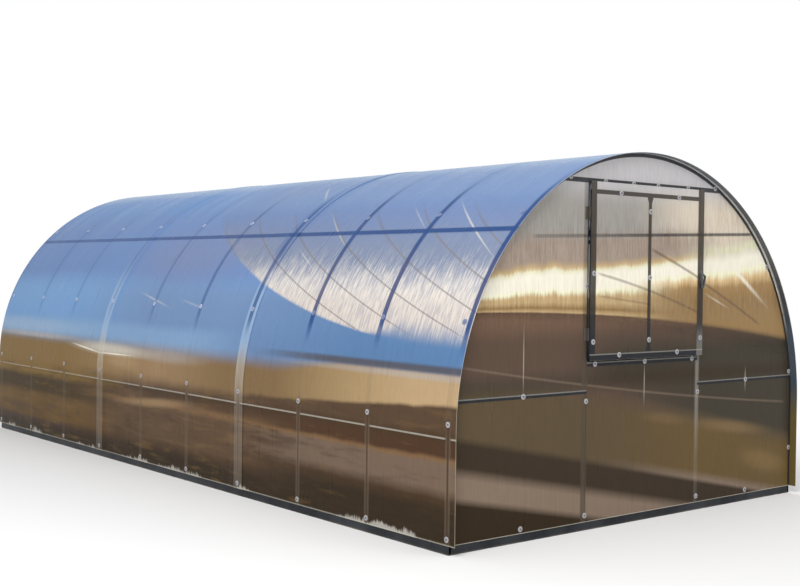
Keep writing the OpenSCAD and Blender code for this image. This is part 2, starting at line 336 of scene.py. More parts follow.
class Board:
    """Places and joins the nodes of one material or node group."""

    def __init__(self, tree):
        self.tree = tree

    def feed(self, socket, value):
        value = getattr(value, "socket", value)
        if isinstance(value, bpy.types.NodeSocket):
            self.tree.links.new(value, socket)
        elif isinstance(value, (int, float)):
            socket.default_value = value
        elif len(socket.default_value) == 4:
            socket.default_value = (*value[:3], 1)
        else:
            socket.default_value = value

    def put(self, kind, inputs=(), **settings):
        made = self.tree.nodes.new("ShaderNode" + kind)
        for name, value in settings.items():
            setattr(made, name, value)
        for name, value in dict(inputs).items():
            self.feed(made.inputs[name], value)
        return made

    def value(self, kind, inputs, **settings):
        """The first output in use of a new node."""
        made = self.put(kind, inputs, **settings)
        return Value(self, next(socket for socket in made.outputs if socket.enabled))

    def values(self, node):
        return [Value(self, socket) for socket in node.outputs]

    def maths(self, operation, *values, clamp=False):
        return self.value("Math", dict(enumerate(values)), operation=operation, use_clamp=clamp)

    def hypotenuse(self, a, b):
        return self.maths("SQRT", a * a + b * b)

    def vector(self, operation, first, second):
        inputs = {0: first, "Scale" if operation == "SCALE" else 1: second}
        return self.value("VectorMath", inputs, operation=operation)

    def split(self, vector):
        """The three parts of a vector."""
        return self.values(self.put("SeparateXYZ", {"Vector": vector}))

    def blend(self, factor, first, second, way="MIX"):
        """Mix of two colours."""
        return self.value("Mix", {0: factor, 6: first, 7: second}, data_type="RGBA", blend_type=way)

    def between(self, factor, first, second):
        """Mix of two numbers."""
        return self.value("Mix", {0: factor, 2: first, 3: second}, data_type="FLOAT")

    def noise(self, vector, scale, detail=2.0, roughness=0.5, stretch=None):
        if stretch:
            vector = self.vector("MULTIPLY", vector, stretch)
        return self.value("TexNoise", {"Vector": vector, "Scale": scale, "Detail": detail, "Roughness": roughness})

    def bump(self, height, strength, distance):
        return self.value("Bump", {"Height": height, "Strength": strength, "Distance": distance})

    def group(self, name, *inputs):
        """Places a node group. Returns its output, or the list of its outputs."""
        outputs = self.values(self.put("Group", dict(enumerate(inputs)), node_tree=bpy.data.node_groups[name]))
        return outputs if len(outputs) > 1 else outputs[0]

    def spots(self, tone, across, up, spots):
        """Lays soft spots over a tone: centre, half sizes, slope, strength and colour of each."""
        for *shape, strength, spot_tone in spots:
            tone = tone.under(self.group("soft spot", across, up, *shape) * strength, spot_tone)
        return tone

    def paint(self, shader, **values):
        for key, value in values.items():
            self.feed(shader.inputs[key.replace("_", " ").title()], value)


def shader_group(*outputs):
    """Turns a function of a board and inputs into one that builds a node group of the same name."""

    def wrap(fill):
        def build():
            tree = bpy.data.node_groups.new(fill.__name__.replace("_", " "), "ShaderNodeTree")
            inputs = inspect.getfullargspec(fill).args[1:]
            for in_out, keys in (("INPUT", inputs), ("OUTPUT", outputs)):
                for key in keys:
                    kind = "Color" if key == "colour" else fill.__annotations__.get(key, "Float")
                    tree.interface.new_socket(name=spell(key), in_out=in_out, socket_type="NodeSocket" + kind)
            board = Board(tree)
            given = tree.nodes.new("NodeGroupInput").outputs
            out = tree.nodes.new("NodeGroupOutput")
            for socket, value in zip(out.inputs, fill(board, *(Value(board, given[spell(key)]) for key in inputs))):
                board.feed(socket, value)

        return build

    return wrap


@shader_group("ribs", "streaks", "hatch", "clouds")
def flute_marks(board, position: "Vector", across: "Vector", pitch, length):
    place = board.vector("DOT_PRODUCT", position, across)
    ribs = board.maths("COSINE", place * math.tau / pitch) * 0.5 + 0.5
    side = board.vector("SCALE", across, place)
    shrink = board.maths("DIVIDE", STREAK_WIDTH, length)
    squeezed = board.vector("ADD", side, board.vector("SCALE", board.vector("SUBTRACT", position, side), shrink))
    hatch = board.noise(squeezed, 95.0, 3.0, 0.7).rise(0.3, 0.7)
    return ribs, board.noise(squeezed, 150.0, 3.0, 0.65), hatch, board.noise(squeezed, 9.0)


@shader_group("mask", "upper_edge")
def pressed_line(board, place, centre, half_width, softness):
    offset = place - centre
    # The second mask is a painted highlight along the tube's upper edge
    rim = abs(half_width * 0.65 - offset)
    return abs(offset).fall(half_width, half_width + softness), rim.fall(half_width * 0.2, half_width * 0.5)


@shader_group("mask", "distance")
def arch_lines(board, place, first, bay, half_width, softness):
    bays = (place - first) / bay
    away = abs(bays - board.maths("ROUND", bays)) * bay
    return away.fall(half_width, half_width + softness), away


@shader_group("mask")
def soft_spot(board, across, up, centre_across, centre_up, half_across, half_up, slope):
    a = across - centre_across
    b = up - centre_up - a * slope
    return (board.hypotenuse(a / half_across, b / half_up).fall(0.15, 1.0),)


@shader_group("mask")
def thin_curve(board, across, up, height, slope, bow, start, end, half_width):
    away = abs(up - (height + across * (slope + across * bow)))
    thin = away.fall(half_width * 0.4, half_width * 1.5)
    return (thin * across.rise(start, start + CURVE_FADE) * across.fall(end - CURVE_FADE, end),)


@shader_group("mask")
def foot_frost(board, position: "Vector", height, foot, reach, amount):
    patches = board.noise(position, 2.3)
    ragged = board.noise(position, 1.0, 3.0, 0.6, stretch=(60, 60, 9))
    limit = ragged * 1.3 + patches * 4.0 - (3.4 - amount)
    return ((limit - (height - foot) / reach).rise(0.0, 0.35),)


@shader_group("colour", "roughness", "height")
def coated_steel(board, position: "Vector", coating: "Color", worn: "Color", dust: "Color", wear, dust_height):
    broad = board.noise(position, 3.0, 4.0, 0.6)
    fine = board.noise(position, 90.0, 3.0, 0.7)
    scuffs = board.noise(position, 4.0, 4.0, 0.75, stretch=(30, 6, 30))
    tone = coating.under(broad.rise(0.3, 0.7, 0.0, 0.2), coating.under(0.5, worn))
    rub = (scuffs + fine * 0.25).rise(0.72, 0.86) * wear
    dusty = board.split(position)[2].rise(0.0, dust_height, 0.4, 0.0) * broad.rise(0.35, 0.65, 0.25, 1.0)
    return tone.under(rub, worn).under(dusty, dust), fine * 0.25 + (0.28 + dusty * 0.4), fine + rub * -0.6


@shader_group("alpha")
def face_opacity(board, sheet_opacity):
    """A sheet is passed twice, at its outer and its inner face."""
    return (1.0 - board.maths("SQRT", board.maths("SUBTRACT", 1.0, sheet_opacity, clamp=True)),)


def new_material(name):
    made = bpy.data.materials.new(name)
    made.use_nodes = True
    board = Board(made.node_tree)
    position = Value(board, board.put("TexCoord").outputs["Object"])
    return made, board, made.node_tree.nodes["Principled BSDF"], position


def dress(node, material):
    """Puts the material in the slots of a CAD node."""
    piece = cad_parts[node]
    piece.data.materials.clear()
    piece.data.materials.append(material)


def steel_material(name, coating, dust_height, wear=1.0, gloss=0.5):
    look = bpy.context.scene.greenhouse_steel
    made, board, shader, position = new_material(name)
    inputs = (position, coating, look.worn, look.dust, look.wear * wear, dust_height)
    tone, roughness, height = board.group("coated steel", *inputs)
    board.paint(shader, base_color=tone, roughness=roughness, normal=board.bump(height, 0.25, 0.0006))
    shader.inputs["Metallic"].default_value = 0.35 * wear
    shader.inputs["Specular IOR Level"].default_value = gloss
    return made


def sheet_material(name, across):
    """The parts of a sheet's material: made, board, shader, position, x, y, z, flute marks and colours."""
    look = bpy.context.scene.greenhouse_sheets
    made, board, shader, position = new_material(name)
    marks = board.group("flute marks", position, across, look.flute, look.streak)
    return made, board, shader, position, *board.split(position), marks, look


def finish_sheet(board, shader, tone, marks, opacity):
    """Gloss, flutes and see-through of a twin-wall sheet."""
    ribs, streaks, _, clouds = marks
    normal = board.bump(ribs * 0.4 + streaks * 0.6, 0.12, 0.0006)
    alpha = board.group("face opacity", opacity)
    board.paint(shader, base_color=tone, roughness=clouds.rise(0.3, 0.7, 0.26, 0.36), normal=normal, alpha=alpha)
    shader.inputs["Specular IOR Level"].default_value = 0.06


def from_axis(x, z):
    """Distance from the axis of the half circle, or from the middle plane below the springing line."""
    return x.board.hypotenuse(x, (z - SPRING_Z) | 0.0)


def sky_tones(look, wave, y, z):
    """Painted reflection of the sky on the roof, by height, wavy along the building."""
    level = z + wave * 0.06
    sky = level.bands(
        2.2, (look.low_blue, 0.94), (look.deep_blue, 1.15), (look.violet_blue, 1.40, 1.80),
        (look.high_blue, 1.93, 2.01), (look.crown_blue, 2.12),
    )
    along = (y + HALF_LONG).bands(
        2 * HALF_LONG, (look.front_blue, 0.8), (look.middle_blue, 2.3, 3.4), (look.deep_blue, 4.8),
    )
    sky = sky.under(level.fall(1.2, 1.45), along)
    sky = sky.under(level.rise(0.97, 1.06, 0.7, 0.0) * y.rise(-1.2, -0.2), look.low_blue)
    by_crown = z.rise(1.8, 1.9) * z.rise(2.0, 2.08, 1.0, 0.2) * y.rise(-0.1, 0.8, 0.9, 0.0)
    return sky.under(by_crown, look.pale_blue)


def earth_tones(board, look, position, wave, ripple, y, z):
    """Painted reflection of the field on the walls by height, with painted shade near the foot and wisps of darker
    and lighter tone.
    """
    level = z + (wave * 0.03 + ripple * 0.035)
    front = level.bands(
        1.0, (look.soot, 0.0, 0.205), (look.umber, 0.265), (look.mauve, 0.325, 0.445), (look.copper, 0.468),
        (look.red_earth, 0.49, 0.545), (look.umber, 0.575), (look.bark, 0.62),
    )
    middle_part = level.bands(
        1.0, (look.soot, 0.0, 0.135), (look.umber, 0.175), (look.earth, 0.23, 0.44), (look.copper, 0.475),
        (look.earth, 0.52), (look.umber, 0.565), (look.bark, 0.60),
    )
    rear = level.bands(
        1.0, (look.soot, 0.0, 0.115), (look.umber, 0.16), (look.loam, 0.2, 0.36), (look.olive, 0.42, 0.51),
        (look.amber, 0.56, 0.62),
    )
    tone = middle_part.under(y.rise(0.2, 1.9), rear).under(y.fall(-1.9, -0.7), front)
    wisps = board.noise(position, 1.6, 4.0, 0.6, stretch=(1.0, 1.5, 11.0))
    far = y.rise(-2.4, -1.2, 0.5, 1.0)
    tone = tone.under(wisps.rise(0.5, 0.68, 0.0, 0.62) * far, look.umber)
    return tone.under(wisps.rise(0.3, 0.46, 0.35, 0.0) * far, look.ochre)


def roof_material():
    made, board, shader, position, x, y, z, marks, look = sheet_material("fluted roof sheet", (0, 1, 0))
    streaks, hatch, clouds = marks[1:]
    wave = board.noise(position, 1.0, 1.0, stretch=(0.3, 0.55, 0.8)) - 0.5
    ripple = board.noise(position, 1.0, stretch=(1.0, 4.0, 1.0)) - 0.5
    sky = sky_tones(look, wave, y, z)
    tone = earth_tones(board, look, position, wave, ripple, y, z)

    # Painted reflection of the field: a light strip above the low rail. It starts higher and sharper near the front.
    strip = (y + HALF_LONG).bands(
        2 * HALF_LONG, (look.straw, 0.3), (look.sand, 1.0), (look.clay, 1.6, 2.2), (look.tan, 3.1), (look.ochre, 4.7),
    )
    start = 0.632 + ((-0.9 - y) | 0.0) * 0.055
    soft = y.rise(-1.7, 0.4, 0.014, 0.07)
    wander = ripple * y.rise(-2.2, -0.6, 0.02, 0.05) + (clouds - 0.5) * y.rise(-2.2, -0.6, 0.015, 0.05)
    over = z - start + wander
    tone = tone.under(over.rise(soft * -1.0, soft), strip)
    # Painted sky reflection above the horizon, then the painted reflection of a dark horizon line
    tone = tone.under(z.rise(y.rise(-2.1, -1.3, 0.888, 0.8), y.rise(-2.0, -0.8, 0.925, 0.93)), sky)
    dusk = z.line(HORIZON_Z, 0.007, 0.024)
    tone = tone.under(dusk * y.rise(-2.0, -0.9, 0.9, 0.0), look.dusk)

    # Painted reflections: warm patches low on the walls and a pale cloud near the crown
    tone = board.spots(tone, y, z, (
        (0.17, 0.482, 0.75, 0.045, -0.06, 0.85, look.tan), (-0.85, 0.53, 0.5, 0.045, 0.0, 0.5, look.red_earth),
        (0.85, 0.822, 0.85, 0.065, 0.01, 0.9, look.edge), (0.0, 0.815, 0.7, 0.06, 0.0, 0.45, look.haze),
        (-2.7, 0.885, 1.6, 0.026, 0.0, 0.5, look.haze), (2.3, 0.868, 1.2, 0.035, 0.0, 0.85, look.haze),
        (2.5, 0.94, 1.7, 0.09, 0.0, 0.65, look.crown_blue), (0.66, 0.74, 0.4, 0.07, 0.0, 0.4, look.straw),
        (0.1, 1.53, 1.3, 0.3, 0.0, 0.8, look.patch_grey), (-1.35, 0.38, 0.4, 0.035, 0.0, 0.5, look.umber),
    ))

    # Light that shows through the shoulder next to the front gable
    run = y + (ROOF_END - 0.05)
    above_edge = z - (run * run * 0.0755 + 1.03)
    shoulder = above_edge.rise(0.0, y.rise(-2.5, -2.2, 0.15, 0.02)) * y.fall(-0.3, 0.5)
    tone = tone.under(shoulder * z.rise(1.5, 1.9, 0.85, 0.0), look.patch_grey)
    ragged = hatch * 0.05 + clouds * 0.16
    fade = (z - ragged).fall(1.2, 1.42) * y.rise(-0.95, -0.1, 1.0, 0.15) * hatch.rise(0.1, 0.8, 0.6, 1.0)
    streaky = shoulder * hatch.rise(0.5, 1.0) * z.rise(1.35, 1.65, 0.5, 0.0)
    tone = tone.under(shoulder * fade, look.patch_light).under(streaky, look.patch_light)

    # Shades of the far arches across that shoulder
    drop = z - 1.42
    slant = y - drop * (2.6 - drop * 1.2)
    shades = board.group("arch lines", slant, -1.16, 0.445, 0.007, 0.012)[0]
    tone = tone.under(shades * shoulder * z.rise(1.65, 1.9, 0.6, 0.0), look.line_shade)

    # Glints where the sheet is bent at a screw and creases along the shades
    tone = board.spots(tone, y, z, ((*glint, look.cream) for glint in (
        (1.27, 0.808, 0.34, 0.009, 0.094, 0.9), (0.78, 0.789, 0.4, 0.008, -0.01, 0.85),
        (0.35, 1.205, 0.32, 0.012, 0.19, 0.25), (-0.2, 1.19, 0.25, 0.011, 0.15, 0.15),
        (-1.45, 1.677, 0.3, 0.008, 0.5, 0.35), (-2.7, 1.672, 0.38, 0.008, 0.54, 0.6),
        (-1.32, 1.5, 0.17, 0.007, 0.44, 0.4), (-2.16, 1.742, 0.2, 0.007, 0.5, 0.25),
        (-0.82, 1.95, 0.16, 0.010, 0.46, 0.35),
    )))

    # Laps of neighbouring sheets, painted as a pale band with painted sky reflection higher up
    reach = abs(y)
    lap = reach.line(LAP_Y, LAP_HALF - 0.004, 0.006) * z.rise(0.5, 0.85, 0.3, 1.0)
    lap = lap * z.rise(1.2, 1.55, 1.0, 0.12)
    lap_tone = board.blend(z.rise(0.85, 1.0), look.edge, look.crown_blue)
    tone = tone.under(lap * z.rise(0.85, 1.0, 0.42, 0.6), lap_tone)

    # Painted shade of the tubes that press on the sheets from inside, with a lighter copy where the shoulder is lit
    arches, away = board.group("arch lines", y, ARCH_PLACES[0], BAY, TUBE * 0.75, 0.010)
    end_line = reach.line(ROOF_END - 0.021, 0.013, 0.008)
    lines = arches * reach.fall(2.85, 2.9) | end_line
    lines = lines * y.rise(-2.0, 0.9, 0.96, 0.27) * (z.rise(0.98, 1.15) * z.rise(1.8, 2.0, 1.0, 0.25))
    lit_part = shoulder * z.rise(1.15, 1.25) * z.rise(1.45, 1.6, 1.0, 0.1)
    tone = tone.under(lines, board.blend(lit_part, look.line_blue, look.line_slate))
    # Painted shading of the legs behind the walls: paler sides, with a dark painted core low down
    below = z.rise(RAIL_Z, RAIL_Z + 0.04, 0.36, 0.14) * z.fall(0.9, 0.95) * y.rise(-2.0, 2.0, 1.0, 0.5)
    tone = tone.under(arches * below, look.line_grey)
    core = away.fall(0.003, 0.011) * z.fall(0.66, 0.71) * y.rise(-2.9, 0.0, 0.85, 0.2)
    purlin = z.line(PURLIN_Z, 0.0098, 0.006) * y.rise(-HALF_LONG, HALF_LONG, 0.97, 0.72)
    tone = tone.under(core, look.umber).under(purlin, look.line_blue)
    clear_of_legs = away.rise(0.012, 0.03)
    # Painted shadow under the low rail and a painted highlight along it
    under_rail = z.line(RAIL_Z - 0.012, 0.004, 0.005) * clear_of_legs * y.rise(-1.0, 2.0, 0.5, 0.2)
    rail = z.line(RAIL_Z, 0.0035, 0.0025) * clear_of_legs * y.rise(-1.0, 2.0, 0.5, 0.36)
    tone = tone.under(under_rail, look.umber).under(rail, look.edge)

    # Fine streaks, dried splashes and cut edges
    fine = streaks.bands(1.0, ((0.6, 0.6, 0.6), 0.25), (WHITE, 0.75))
    coarse = hatch.bands(1.0, ((0.55, 0.55, 0.55), 0.0), (WHITE, 1.0))
    tone = tone.under(0.14, fine, "MULTIPLY").under(z.rise(0.95, 1.1, 0.2, 0.07), coarse, "MULTIPLY")
    frost = board.group("foot frost", position, z, SHEET_FOOT, 0.08, 0.86)
    cut = reach.rise(ROOF_END - 0.002, ROOF_END - 0.001) | z.fall(SHEET_FOOT + 0.004, SHEET_FOOT + 0.009)
    tone = tone.under(frost * 0.7, look.frost).under(cut * 0.42, look.edge)

    # Seen from inside, the sheets show the light outdoors instead of the sky
    inside = z.bands(
        2.2, (look.moss, 0.0, 0.6), (look.slate_brown, 0.68), (look.bronze, 1.0), (look.gold, 1.2),
        (look.cream, 1.35), (look.pale_gold, 1.5), (look.lilac, 1.75, 2.14),
    )
    # The lip beyond the gable face gets painted light and shade in bands by height, and painted shade along its outer
    # part higher up
    lip = z.bands(2.2, (look.lip_olive, 0.0, 0.5), (look.lip_slate, 0.72, 1.15), (look.lip_pale, 1.6, 2.14))
    rim = reach.rise(GABLE_FACE + 0.011, GABLE_FACE + 0.015) * z.rise(1.0, 1.3, 0.0, 0.85)
    inside = inside.under(reach.rise(GABLE_FACE, GABLE_FACE + 0.004), lip.under(rim, look.line_dark))
    tone = tone.under(from_axis(x, z).fall(SKIN_R - 0.0025, SKIN_R - 0.0015), inside)

    solid = cut | (lines | purlin) | (frost | lap) * 0.6
    patch = shoulder * z.rise(1.5, 2.0, 1.0, 0.3)
    opacity = board.between(patch, look.roof_opacity, look.shoulder_opacity)
    opacity = board.between(z.fall(0.7, 1.0), opacity, look.wall_opacity)
    finish_sheet(board, shader, tone, marks, board.between(solid, opacity, 0.998))
    return made


def upper_gable(look, part, x, z):
    """Painted light and reflection in bands of the gable from its dark middle up to the crown, by the share of the
    cream band.
    """
    left = part.bands(
        4.0, (look.bronze, 0.0), (look.gold, 0.05), (look.brass, 0.18), (look.gold, 0.36, 0.54),
        (look.pale_gold, 0.68), (look.cream, 0.82, 1.2), (look.pale_gold, 1.27), (look.gold, 1.36),
        (look.taupe, 1.52, 1.95), (look.warm_grey, 2.3, 3.5),
    )
    right = part.bands(
        4.0, (look.brass, 0.0, 0.68), (look.gold, 0.8), (look.pale_gold, 0.9), (look.cream, 0.99, 1.3),
        (look.pale_gold, 1.46, 1.54), (look.stone, 1.68, 2.3),
    )
    turn = part.rise(0.9, 1.15, -0.3, 0.15) - part.rise(1.7, 2.4, 0.0, 0.35)
    above = left.under(x.rise(turn, turn + 0.65), right).under(z.rise(1.8, 1.98), look.lilac)
    below_left = z.bands(1.4, (look.slate_brown, 0.8), (look.brown, 0.92, 1.06), (look.bronze, 1.17))
    below_right = z.bands(
        1.4, (look.gable_dark, 0.82), (look.slate_brown, 0.9, 0.98), (look.brown, 1.11), (look.bronze, 1.17),
    )
    below = below_left.under(x.rise(-0.75, -0.1), below_right)
    return below.under(part.rise(-0.03, 0.07), above)


def lower_gable(look, x, z):
    """Painted reflection and shade in bands of the lower gable, which fall to the right."""
    lean = z + (x + 1.46) * 0.2
    low_bands = [(look.soot, 0.0, 0.25), (look.rose, 0.29, 0.385), (look.gable_dark, 0.445, 0.56)]
    left = lean.bands(1.4, *low_bands, (look.moss, 0.60, 0.86), (look.brown, 0.98), (look.slate_brown, 1.2))
    right = lean.bands(
        1.4, *low_bands, (look.rose, 0.585), (look.honey, 0.635, 0.88), (look.moss, 0.95),
        (look.slate_brown, 1.01, 1.3),
    )
    return left.under(x.rise(-0.6, 0.7), right)


def leaf_tubes(board, look, tone, x, z):
    """Painted shade of the leaf's frame behind its sheet, with a painted highlight low on the right stile. Returns
    the tone, the dark mask and the lit mask of painted highlights.
    """
    inner_edge = (LEAF_RIGHT - LEAF_LEFT) / 2 - TUBE - 0.006
    right_stile = x.rise(LEAF_MID + inner_edge - 0.022, LEAF_MID + inner_edge - 0.012)
    stiles = right_stile | x.fall(LEAF_MID - inner_edge, LEAF_MID - inner_edge + 0.003)
    flare = z.rise(LEAF_Z1 - 0.05, LEAF_Z1 - 0.01, 0.0, 0.012) | z.rise(LEAF_Z0 + 0.01, LEAF_Z0 + 0.04, 0.008, 0.0)
    mullion = x.line(LEAF_MID - 0.003, flare + (TUBE / 2 + 0.003), 0.003)
    mullion = mullion * z.rise(LEAF_Z0 - 0.004, LEAF_Z0) * z.fall(LEAF_Z1, LEAF_Z1 + 0.004)
    low, lit = board.group("pressed line", z, LEAF_Z0, TUBE / 2, 0.003)
    top = z.line(LEAF_Z1, TUBE / 2 + 0.001, 0.003)
    under_low = z.fall(LEAF_Z0 - 0.004, LEAF_Z0)
    dark = stiles | mullion | (low | under_low | top)
    tube_tone = board.blend(z.rise(LEAF_LOW + 0.05, LEAF_LOW + 0.6), look.line_dark, look.line_brown)
    # Painted highlight low on the right stile
    tube_tone = tube_tone.under(right_stile * z.rise(1.02, 1.16, 0.28, 0.0), look.frost)
    return tone.under(dark * 0.94, tube_tone), dark, lit


def fixed_tubes(board, look, tone, x, z):
    """Painted shade of the gable's tubes behind its sheets, with a painted highlight along the right post. Returns
    the tone, the dark mask and the lit mask of painted highlights.
    """
    beside = abs(x).rise(POST_X - 0.01, POST_X)
    between_posts = 1.0 - beside
    below_lintel = z.fall(LINTEL_Z - 0.01, LINTEL_Z)
    # Painted shade along the left post and a painted highlight along the right post
    left_post = x.line(-POST_X - 0.012, 0.016, 0.012) * below_lintel * z.rise(1.1, 1.3, 0.75, 0.3)
    right_post = x.line(POST_X - 0.006, 0.006, 0.02) * below_lintel * z.rise(0.25, 0.75, 0.1, 0.34)
    under_leaf = z.line((SILL_Z + LEAF_Z0) / 2, (LEAF_Z0 - SILL_Z) / 2 + 0.012, 0.003)
    lintel = z.line(LINTEL_Z, TUBE / 2 + 0.002, 0.003)
    ring = from_axis(x, z).rise(ARCH_R - TUBE - 0.003, ARCH_R - TUBE)
    rails, rails_lit = board.group("pressed line", z, MID_RAIL_Z, TUBE / 2, 0.003)
    sill_lit = board.group("pressed line", z, SILL_Z, TUBE / 2 + 0.003, 0.003)[1]
    dark = rails * beside | under_leaf * between_posts | lintel | ring
    lit = rails_lit * beside | sill_lit * between_posts
    tone = tone.under(left_post, look.post).under(right_post, look.frost)
    return tone.under(dark * 0.94, look.line_dark), dark, lit


def gable_material(name, is_leaf):
    made, board, shader, position, x, _, z, marks, look = sheet_material(name, (1, 0, 0))
    hatch, clouds = marks[2:]

    # The border between dark and light falls to the right, and the cream band climbs.
    # The share is 0 at the border, 1 at the middle of the cream band and grows on above it.
    border = 1.168 - x * (0.073 + x * 0.0263)
    middle_of_cream = x.rise(-1.3, -0.9, 1.383, 1.418) + x * (0.065 + x * 0.02)
    shiver = ((hatch - 0.5) * 0.018 + (clouds - 0.5) * 0.06) * z.rise(1.2, 1.35)
    rest = z + shiver - middle_of_cream
    part = 1.0 + (board.maths("MINIMUM", rest, 0.0) / (middle_of_cream - border) + (rest | 0.0) / 0.22)
    glowing = part.rise(0.4, 0.75) * part.fall(1.15, 1.5)
    tone = lower_gable(look, x, z).under(z.rise(0.74, 0.86), upper_gable(look, part, x, z))

    # Thin painted shades of the far arches and of the far purlin, and a thin pink-brown painted line low across the
    # gable
    for *curve, strength, line_tone in (
        (1.58, -0.33, -0.07, 0.0, 1.15, 0.009, 0.6, look.bronze),
        (1.335, -0.25, -0.08, -0.46, 0.5, 0.008, 0.5, look.bronze),
        (1.257, -0.11, 0.0, -0.46, 0.05, 0.007, 0.35, look.bronze),
        (1.655, 0.033, 0.0, -0.95, 1.06, 0.010, x.rise(-0.9, 0.2, 0.4, 0.8), look.line_dark),
        (0.748, -0.118, 0.013, -1.45, 1.45, 0.007, 0.42, look.rose),
    ):
        tone = tone.under(board.group("thin curve", x, z, *curve) * strength, line_tone)

    # Painted light: golden clouds low on the right
    tone = board.spots(tone, x, z, (
        (0.85, 0.485, 0.5, 0.06, -0.13, 0.3, look.brass), (1.2, 0.24, 0.35, 0.1, -0.2, 0.25, look.brass),
        (0.2, 0.58, 0.3, 0.05, -0.13, 0.15, look.brass),
    ))

    tone, dark, lit = (leaf_tubes if is_leaf else fixed_tubes)(board, look, tone, x, z)
    # Painted highlights along the tops of the tubes behind the sheet
    tone = tone.under(lit * 0.36, look.frost)

    # Glints where the sheet is bent at a screw
    tone = board.spots(tone, x, z, (
        (0.91, 1.43, 0.36, 0.028, -0.66, 0.8, look.cream), (0.68, 1.27, 0.16, 0.011, -0.39, 0.45, look.cream),
        (-0.99, 0.96, 0.006, 0.24, 0.0, 0.3, look.cream), (0.0, 0.79, 0.006, 0.16, 0.0, 0.35, look.cream),
        (0.99, 0.775, 0.006, 0.1, 0.0, 0.4, look.cream),
    ))

    # Fine streaks, dried splashes and cut edges
    high_up = z.rise(1.62, 1.85, 1.0, 0.4) | x.rise(0.5, 0.75, 0.0, 1.05)
    amount = z.rise(1.1, 1.25, 0.12, 0.4) * high_up * (1.0 - glowing * 0.5)
    tone = tone.under(amount, hatch.bands(1.0, ((0.42, 0.38, 0.32), 0.0), (WHITE, 1.0)), "MULTIPLY")
    if is_leaf:
        low, top = span("front_vent_sheet", Z)
        cut = z.fall(low, low + 0.001) | z.rise(top - 0.001, top)
    else:
        frost = board.group("foot frost", position, z, SHEET_FOOT, 0.05, 0.1)
        tone = tone.under(frost * 0.5, look.frost)
        cut = z.fall(SHEET_FOOT + 0.002, SHEET_FOOT + 0.005)
    tone = tone.under(cut * 0.7, look.edge)
    clear = part.rise(-0.3, 0.1) * (1.0 - glowing)
    opacity = board.between(clear, look.wall_opacity, look.leaf_opacity if is_leaf else look.gable_opacity)
    finish_sheet(board, shader, tone, marks, board.between(dark | cut, opacity, 0.99))
    return made


# ---- operators: finishes of the CAD nodes ----


class FinishFrame(bpy.types.Operator):
    """Coats the base tubes, arches, rails, posts and leaf frames"""

    bl_idname = "greenhouse.finish_frame"
    bl_label = "Finish the steel frame"

    def execute(self, context):
        look = context.scene.greenhouse_steel
        coated_steel()
        base = steel_material("dark slate base coating", look.base, 0.012, 0.25, 0.2)
        tube = steel_material("slate frame coating", look.tube, 0.16)
        for side in (*ENDS, "left", "right"):
            dress("base_rail_" + side, base)
        for node in (*ARCHES, *LONG_TUBES, *(end + "_" + part for end in ENDS for part in GABLE_TUBES)):
            dress(node, tube)
        return {"FINISHED"}


class FinishSheets(bpy.types.Operator):
    """Gives the roof, gable and leaf sheets their bronze twin-wall look, with painted reflections, painted light and
    painted shade
    """

    bl_idname = "greenhouse.finish_sheets"
    bl_label = "Finish the sheets"

    def execute(self, context):
        for build in (flute_marks, pressed_line, arch_lines, soft_spot, thin_curve, foot_frost, face_opacity):
            build()
        roof = roof_material()
        gable = gable_material("fluted gable sheet", False)
        leaf = gable_material("fluted leaf sheet", True)
        for node in ROOF_SHEETS:
            dress(node, roof)
        for end in ENDS:
            for part in GABLE_SHEETS:
                dress(end + "_" + part, gable)
            dress(end + "_vent_sheet", leaf)
        return {"FINISHED"}


class FinishFittings(bpy.types.Operator):
    """Zinc for the hinges and black moulded plastic for the latches"""

    bl_idname = "greenhouse.finish_fittings"
    bl_label = "Finish the hinges and latches"

    def execute(self, context):
        look = context.scene.greenhouse_steel
        hinge = steel_material("zinc hinge", look.hinge, 0.02)
        plastic, board, shader, position = new_material("black moulded latch")
        grain = board.noise(position, 900.0)
        paler = board.blend(0.15, look.latch, WHITE)
        tone = board.blend(board.noise(position, 40.0), look.latch, paler)
        normal = board.bump(grain, 0.2, 0.0003)
        board.paint(shader, base_color=tone, roughness=grain.rise(0.3, 0.7, 0.38, 0.55), normal=normal)
        for end in ENDS:
            dress(end + "_vent_hinges", hinge)
            dress(end + "_vent_latch", plastic)
        return {"FINISHED"}


# ---- modelling helpers ----


def deselect():
    bpy.ops.object.select_all(action="DESELECT")


def add_cylinder(vertices, radius, depth, foot):
    """A cylinder that stands at a height, in edit mode."""
    deselect()
    place = (0, 0, foot + depth / 2)
    bpy.ops.mesh.primitive_cylinder_add(vertices=vertices, radius=radius, depth=depth, location=place)
    bpy.ops.object.transform_apply(location=True, rotation=True, scale=True)
    bpy.ops.object.mode_set(mode="EDIT")
    return bpy.context.object


def pick_end(piece, way):
    """Selects, in edit mode, the faces of a piece that look up (way 1) or down (way -1)."""
    bpy.ops.mesh.select_mode(type="FACE")
    bpy.ops.mesh.select_all(action="DESELECT")
    bpy.ops.object.mode_set(mode="OBJECT")
    for face in piece.data.polygons:
        face.select = face.normal.z * way > 0.9
    bpy.ops.object.mode_set(mode="EDIT")


def close_piece(piece, material):
    bpy.ops.object.mode_set(mode="OBJECT")
    piece.data.materials.append(bpy.data.materials[material])


def join(pieces, name):
    deselect()
    for piece in pieces:
        piece.select_set(True)
    bpy.context.view_layer.objects.active = pieces[0]
    bpy.ops.object.join()
    made = bpy.context.object
    made.name = made.data.name = name
    return made


